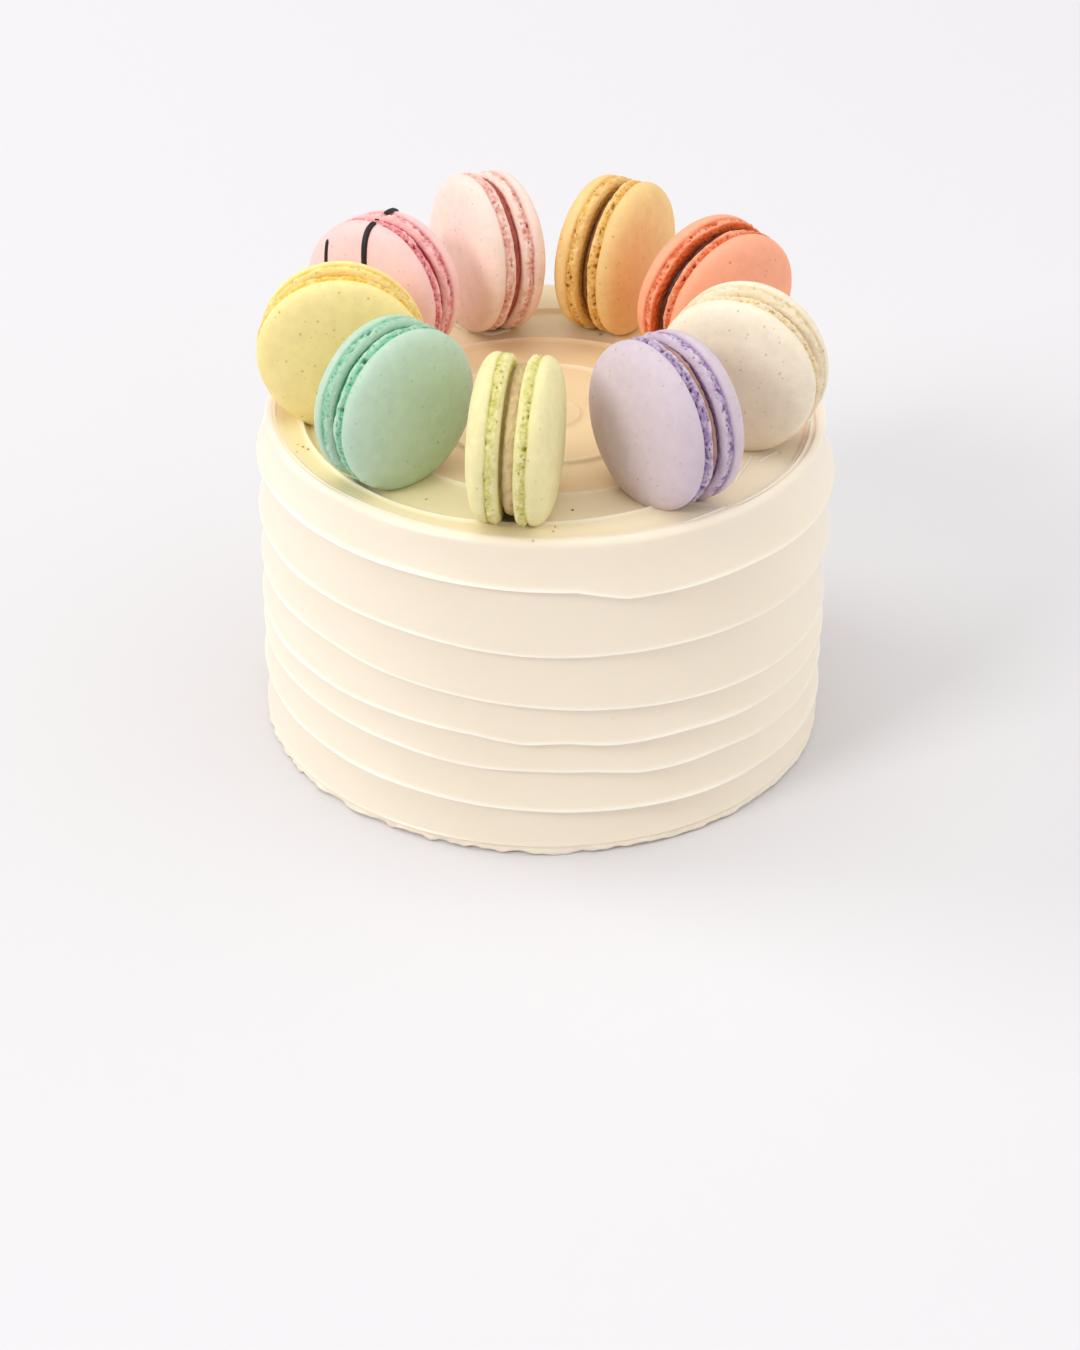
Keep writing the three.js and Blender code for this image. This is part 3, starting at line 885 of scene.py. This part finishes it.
def softFilling(macaron):
    # Cream or ganache, piped and pressed: a satin edge with soft streaks.
    material, shader, place = newMaterial(macaron["name"] + " piped filling")
    streaks = texture(material, "Noise", place, {"Scale": 420.0, "Detail": 3.0, "Roughness": 0.6})
    shade = addNode(
        material, "ShaderNodeMapRange", {"From Min": 0.3, "From Max": 0.7, "To Min": 0.8, "To Max": 1.15},
        {"Value": streaks.outputs["Fac"]},
    )
    colour = addNode(
        material, "ShaderNodeVectorMath", {"operation": "SCALE", 0: linear(macaron["filling"])[:3]},
        {"Scale": shade.outputs["Result"]},
    )
    bump = addNode(
        material, "ShaderNodeBump", {"Strength": 0.6, "Distance": 0.0005}, {"Height": streaks.outputs["Fac"]},
    )
    fillNode(
        material, shader, {"Roughness": 0.45, "IOR": 1.4},
        {"Base Color": colour.outputs["Vector"], "Normal": bump.outputs["Normal"]},
    )
    return material


def fillingRings(macaron):
    half = macaron["gap"] / 2 + 0.12
    radius = macaron["diameter"] / 2 - macaron["fillingInset"] - 0.3
    start, end = macaron["ribbon"]
    rows = macaronForm["fillingRows"]

    def edge(share):
        level = lerp(-1, 1, share)
        height = half * level
        apart = max(start - level, level - end, 0)
        sink = 1.6 * smoothStep(apart / 0.3) + macaron["sunk"]
        middle = (start + end) / 2
        bulge = 0.4 * (1 - min(abs(level - middle) / (end - start) * 2, 1) ** 2)

        def ring(angle):
            uneven = 0.25 * math.sin(4 * angle + macaron["angle"])
            lumps = 0.4 * roundNoise(angle, radius, 3.5, macaron["angle"])
            lumps += 0.3 * roundNoise(angle, radius, 1.4, height * 2)
            return radius - 0.2 + bulge + uneven + lumps - sink, height

        return ring

    inner = radius - 3
    rings = [lambda angle: (0, -half), lambda angle: (inner, -half)]
    rings += [edge(row / rows) for row in range(rows + 1)]
    rings += [lambda angle: (inner, half), lambda angle: (0, half)]
    return rings


def makeMacaron(macaron):
    skin = meringue(macaron)
    name = macaron["name"]
    for sideName in ("a", "b"):
        bm = spunMesh(shellRings(macaron, sideName), macaronForm["steps"], ("pitShade", "foot"))
        bmesh.ops.transform(bm, matrix=ontoAxis(macaron, sideName), verts=bm.verts)
        finishPiece(bm, f"{name}_shell_{sideName}", skin, f"{name}_shell", f"{name}_macaron_shell_{sideName}")
    bm = spunMesh(fillingRings(macaron), macaronForm["fillingSteps"])
    bmesh.ops.transform(bm, matrix=macaronPlace(macaron) @ alongAxis(0), verts=bm.verts)
    finishPiece(bm, f"{name}_filling", softFilling(macaron), f"{name}_filling", f"{name}_macaron_filling")
    print(name, "macaron made")


for macaron in macarons:
    makeMacaron(macaron)


def alongPoints(points, share):
    # the place at a share of the way through a list of points
    part = min(max(share, 0.0), 1.0) * (len(points) - 1)
    index = min(int(part), len(points) - 2)
    return [lerp(start, end, part - index) for start, end in zip(points[index], points[index + 1])]


def layAlong(path, widthRadius, heightRadius, rows=24, steps=16):
    # a thin strand with rounded ends: a spun spindle bent along a path, which gives a place,
    # a sideways and an outward direction for each share of its length
    def ring(row):
        share = row / rows
        taper = min(1.0, 5.5 * math.sin(math.pi * share)) ** 0.6 if 0 < row < rows else 0.0
        return lambda angle: (taper, share)

    bm = spunMesh([ring(row) for row in range(rows + 1)], steps)
    for vert in bm.verts:
        place, sideways, outward = path(vert.co.z)
        vert.co = place + sideways * (vert.co.x * widthRadius) + outward * (vert.co.y * heightRadius)
    bmesh.ops.recalc_face_normals(bm, faces=bm.faces)
    return bm


# The chocolate lines over the pink macaron. Side and up are measured from the macaron's axis;
# a third number, where there is one, is the way along the axis from the shell's flat face.
chocolateLines = [
    {"on": "a", "radius": 0.95, "path": [(0.4, 23.9), (1.1, 18.3), (3.0, 8), (6.1, -12)]},
    {"on": "a", "radius": 0.75, "path": [(-13.2, 15.4), (-12.0, 8), (-9.5, -8)]},
    {
        "on": "b", "radius": 0.9,
        "path": [(1.2, 22.9, 0.9), (1.4, 23.0, 3.8), (1.7, 22.6, 5.6), (1.9, 21.8, 7.2)],
    },
    {"on": "a", "radius": 0.35, "path": [(0.3, 22.9, 2.1), (-0.2, 22.9, 2.6), (-0.5, 22.9, 3.0)]},
]


def setChocolate():
    # Dark chocolate, drizzled and set: near black, smooth, with a soft gloss.
    material, shader, place = newMaterial("set dark chocolate")
    bloom = texture(material, "Noise", place, {"Scale": 500.0, "Detail": 2.0})
    dark = blend(material, bloom.outputs["Fac"], linear("160f11"), linear("281c1d"))
    bump = addNode(
        material, "ShaderNodeBump", {"Strength": 0.3, "Distance": 0.0002}, {"Height": bloom.outputs["Fac"]},
    )
    fillNode(
        material, shader, {"Roughness": 0.45, "IOR": 1.4},
        {"Base Color": dark, "Normal": bump.outputs["Normal"]},
    )
    return material


def makeChocolateLines():
    material = setChocolate()
    macaron = next(one for one in macarons if one["name"] == "pink")
    radius = macaron["diameter"] / 2

    def onDome(sideways, up):
        # past the dome's edge the line runs on down the foot
        distance = math.hypot(sideways, up)
        over = max(distance - radius, 0)
        level = domeHeight(macaron, min(distance, radius - 0.05)) - over
        return Vector((sideways, up, 0)) * ((distance - over) / distance) + Vector((0, 0, level))

    for number, line in enumerate(chocolateLines):
        laid = line["path"]

        def spotAt(share, laid=laid):
            spot = alongPoints(laid, share)
            return Vector(spot) if len(spot) == 3 else onDome(*spot)

        def path(share, spotAt=spotAt, laid=laid):
            place = spotAt(share)
            along = (spotAt(share + 0.01) - spotAt(share - 0.01)).normalized()
            over = 0.6 + 3 * (math.hypot(place.x, place.y) / radius) ** 8
            outward = Vector((place.x * over, place.y * over, radius)).normalized()
            sideways = along.cross(outward).normalized()
            return place, sideways, sideways.cross(along)

        bm = layAlong(path, line["radius"], line["radius"] * 0.6, rows=36)
        bmesh.ops.transform(bm, matrix=ontoAxis(macaron, line["on"]), verts=bm.verts)
        finishPiece(bm, f"pink_chocolate_line_{number + 1}", material, "pink_shell")
    print("chocolate lines laid")


makeChocolateLines()

# Where a knife or a finger touched the frosting: thin ridges on the top, each along a path of
# radius and angle.
touches = [
    {"path": [(77.6, -62), (75.8, -48), (75.2, -34), (74.8, -14), (75.5, 2)], "width": 0.55, "height": 0.34},
    {"path": [(66.0, -38.5), (64.2, -32.5), (62.9, -23.5)], "width": 0.5, "height": 0.45},
    {"path": [(66.2, -26.5), (67.2, -23.0), (69.0, -19.8)], "width": 0.45, "height": 0.4},
    {"path": [(59.0, -20.5), (62.1, -19.4), (64.3, -20.2), (67.0, -18.0)], "width": 0.4, "height": 0.3},
    {"path": [(69.0, -105.5), (68.0, -102.0), (66.5, -97.5)], "width": 0.9, "height": 0.6},
    {"path": [(69.6, -141.0), (70.0, -138.0), (68.6, -135.5)], "width": 0.8, "height": 0.7},
    {"path": [(61.5, 117.5), (55.0, 115.0), (51.5, 108.5), (53.0, 101.5)], "width": 1.1, "height": 0.7},
]


def onFrosting(radius, angle, lift=0.0):
    turn = math.radians(angle)
    above = Vector((radius * math.cos(turn), radius * math.sin(turn), 140))
    spot = frostingSurface.ray_cast(above, Vector((0, 0, -1)))[0]
    return spot + Vector((0, 0, lift))


def makeTouches():
    for number, touch in enumerate(touches):
        def spotAt(share, touch=touch):
            return onFrosting(*alongPoints(touch["path"], share), 0.06)

        def path(share, spotAt=spotAt):
            along = (spotAt(min(share + 0.05, 1)) - spotAt(max(share - 0.05, 0))).normalized()
            sideways = along.cross(Vector((0, 0, 1))).normalized()
            return spotAt(share), sideways, sideways.cross(along)

        bm = layAlong(path, touch["width"], touch["height"], rows=60)
        finishPiece(bm, f"frosting_touch_{number + 1}", creamMaterial, "buttercream")
    print("touches laid")


makeTouches()

# Crumbs that fell from the macarons.
crumbs = {
    "seed": 7,
    "sizes": (0.35, 0.8),
    # radius, angle and colour
    "spots": [
        (72.5, -88.0, "d9b45a"), (69.0, -92.5, "e0c070"), (78.6, -92.0, "e3c77c"), (64.5, -106.5, "c9b25a"),
        (66.5, -103.0, "d2c26a"), (75.0, -131.0, "e8c860"), (62.0, -121.0, "cdb06a"), (70.0, -20.0, "e8b070"),
        (58.5, 80.0, "c98b45"), (54.5, 100.0, "dc9a86"), (52.0, 72.0, "cf9a58"), (66.0, 152.0, "d8777a"),
        (64.8, -47.0, "a58cba"), (66.2, -60.0, "b39cc4"),
        (73.7, -158.8, "efc23c"), (71.8, -156.3, "edbe3e"), (72.7, -157.6, "e9b834"),
        (75.4, -155.5, "edc850"),
        (58.0, -82.3, "c89a54"), (70.0, -87.5, "e0bb70"), (49.0, 40.0, "d8683c"), (76.0, 25.0, "d8683c"),
    ],
}


def makeCrumbs():
    # Crumbs of baked meringue, dry and rough: each is a piece of its own.
    draw = random.Random(crumbs["seed"])
    for number, (radius, angle, colour) in enumerate(crumbs["spots"]):
        material, shader, place = newMaterial(f"meringue crumb {number + 1}")
        rough = texture(material, "Noise", place, {"Scale": 2500.0})
        shaded = [0.7 * part for part in linear(colour)[:3]] + [1.0]
        tint = blend(material, rough.outputs["Fac"], shaded, linear(colour))
        fillNode(material, shader, {"Roughness": 0.9}, {"Base Color": tint})
        bm = bmesh.new()
        size = draw.uniform(*crumbs["sizes"])
        bmesh.ops.create_icosphere(bm, subdivisions=2, radius=size / 2)
        shift = Vector((number * 5.0, 0, 0))
        for vert in bm.verts:
            vert.co *= 1 + 0.5 * noise.noise(vert.co * 2.2 / size + shift)
        bmesh.ops.scale(bm, vec=(1.3, 1.0, 0.8), verts=bm.verts)
        bmesh.ops.rotate(bm, matrix=Matrix.Rotation(draw.uniform(0, math.pi), 3, "Z"), verts=bm.verts)
        bmesh.ops.translate(bm, vec=onFrosting(radius, angle, size * 0.25), verts=bm.verts)
        finishPiece(bm, f"crumb_{number + 1}", material, "tan_shell")
    print("crumbs scattered")


makeCrumbs()


# A pale studio: a wide floor, a surround that is brighter overhead and to the right, a soft
# key light from the front left, a broad one from the back left and another nearly overhead.
studio = {
    "floorColour": "dedcde",
    "lightColour": "ffffff",
    "lightDistance": 6.0,
    "worldAbove": 0.76,
    "worldRight": 1.1,
    "lights": [
        {"name": "key", "azimuth": 219, "elevation": 34, "size": 1.8, "power": 134},
        {"name": "side", "azimuth": 162, "elevation": 30, "size": 3.0, "power": 108},
        {"name": "overhead", "azimuth": 150, "elevation": 78, "size": 4.0, "power": 78},
    ],
}


def makeStudio():
    scene = bpy.context.scene
    scene.view_settings.view_transform = "Standard"
    scene.view_settings.look = "None"
    material, shader, place = newMaterial("matt paper sweep")
    fibre = texture(material, "Noise", place, {"Scale": 400.0})
    bump = addNode(
        material, "ShaderNodeBump", {"Strength": 0.05, "Distance": 0.0002}, {"Height": fibre.outputs["Fac"]},
    )
    fillNode(
        material, shader, {"Base Color": linear(studio["floorColour"]), "Roughness": 0.95},
        {"Normal": bump.outputs["Normal"]},
    )
    bm = bmesh.new()
    bmesh.ops.create_circle(bm, cap_ends=True, segments=96, radius=8)
    mesh = bpy.data.meshes.new("floor")
    bm.to_mesh(mesh)
    bm.free()
    floor = bpy.data.objects.new("floor", mesh)
    mesh.materials.append(material)
    scene.collection.objects.link(floor)

    world = bpy.data.worlds.new("surround")
    world.use_nodes = True
    background = world.node_tree.nodes["Background"]
    background.inputs["Color"].default_value = linear(studio["lightColour"])
    direction = addNode(world, "ShaderNodeTexCoord")
    parts = addNode(world, "ShaderNodeSeparateXYZ", links={"Vector": direction.outputs["Generated"]})
    strength = addNode(world, "ShaderNodeMath", {"operation": "ADD"})
    for number, (most, axis) in enumerate((("worldAbove", "Z"), ("worldRight", "X"))):
        rise = addNode(
            world, "ShaderNodeMapRange", {"To Max": studio[most]}, {"Value": parts.outputs[axis]},
        )
        fillNode(world, strength, links={number: rise.outputs["Result"]})
    world.node_tree.links.new(strength.outputs["Value"], background.inputs["Strength"])
    scene.world = world

    for lamp in studio["lights"]:
        azimuth = math.radians(lamp["azimuth"])
        elevation = math.radians(lamp["elevation"])
        level = math.cos(elevation)
        towards = Vector((math.cos(azimuth) * level, math.sin(azimuth) * level, math.sin(elevation)))
        light = bpy.data.lights.new(lamp["name"], "AREA")
        light.shape = "SQUARE"
        light.size = lamp["size"]
        light.energy = lamp["power"]
        light.color = linear(studio["lightColour"])[:3]
        holder = bpy.data.objects.new(lamp["name"], light)
        holder.location = towards * studio["lightDistance"] + Vector((0, 0, 0.06))
        holder.rotation_euler = towards.to_track_quat("Z", "Y").to_euler()
        scene.collection.objects.link(holder)
    print("studio lit")


makeStudio()
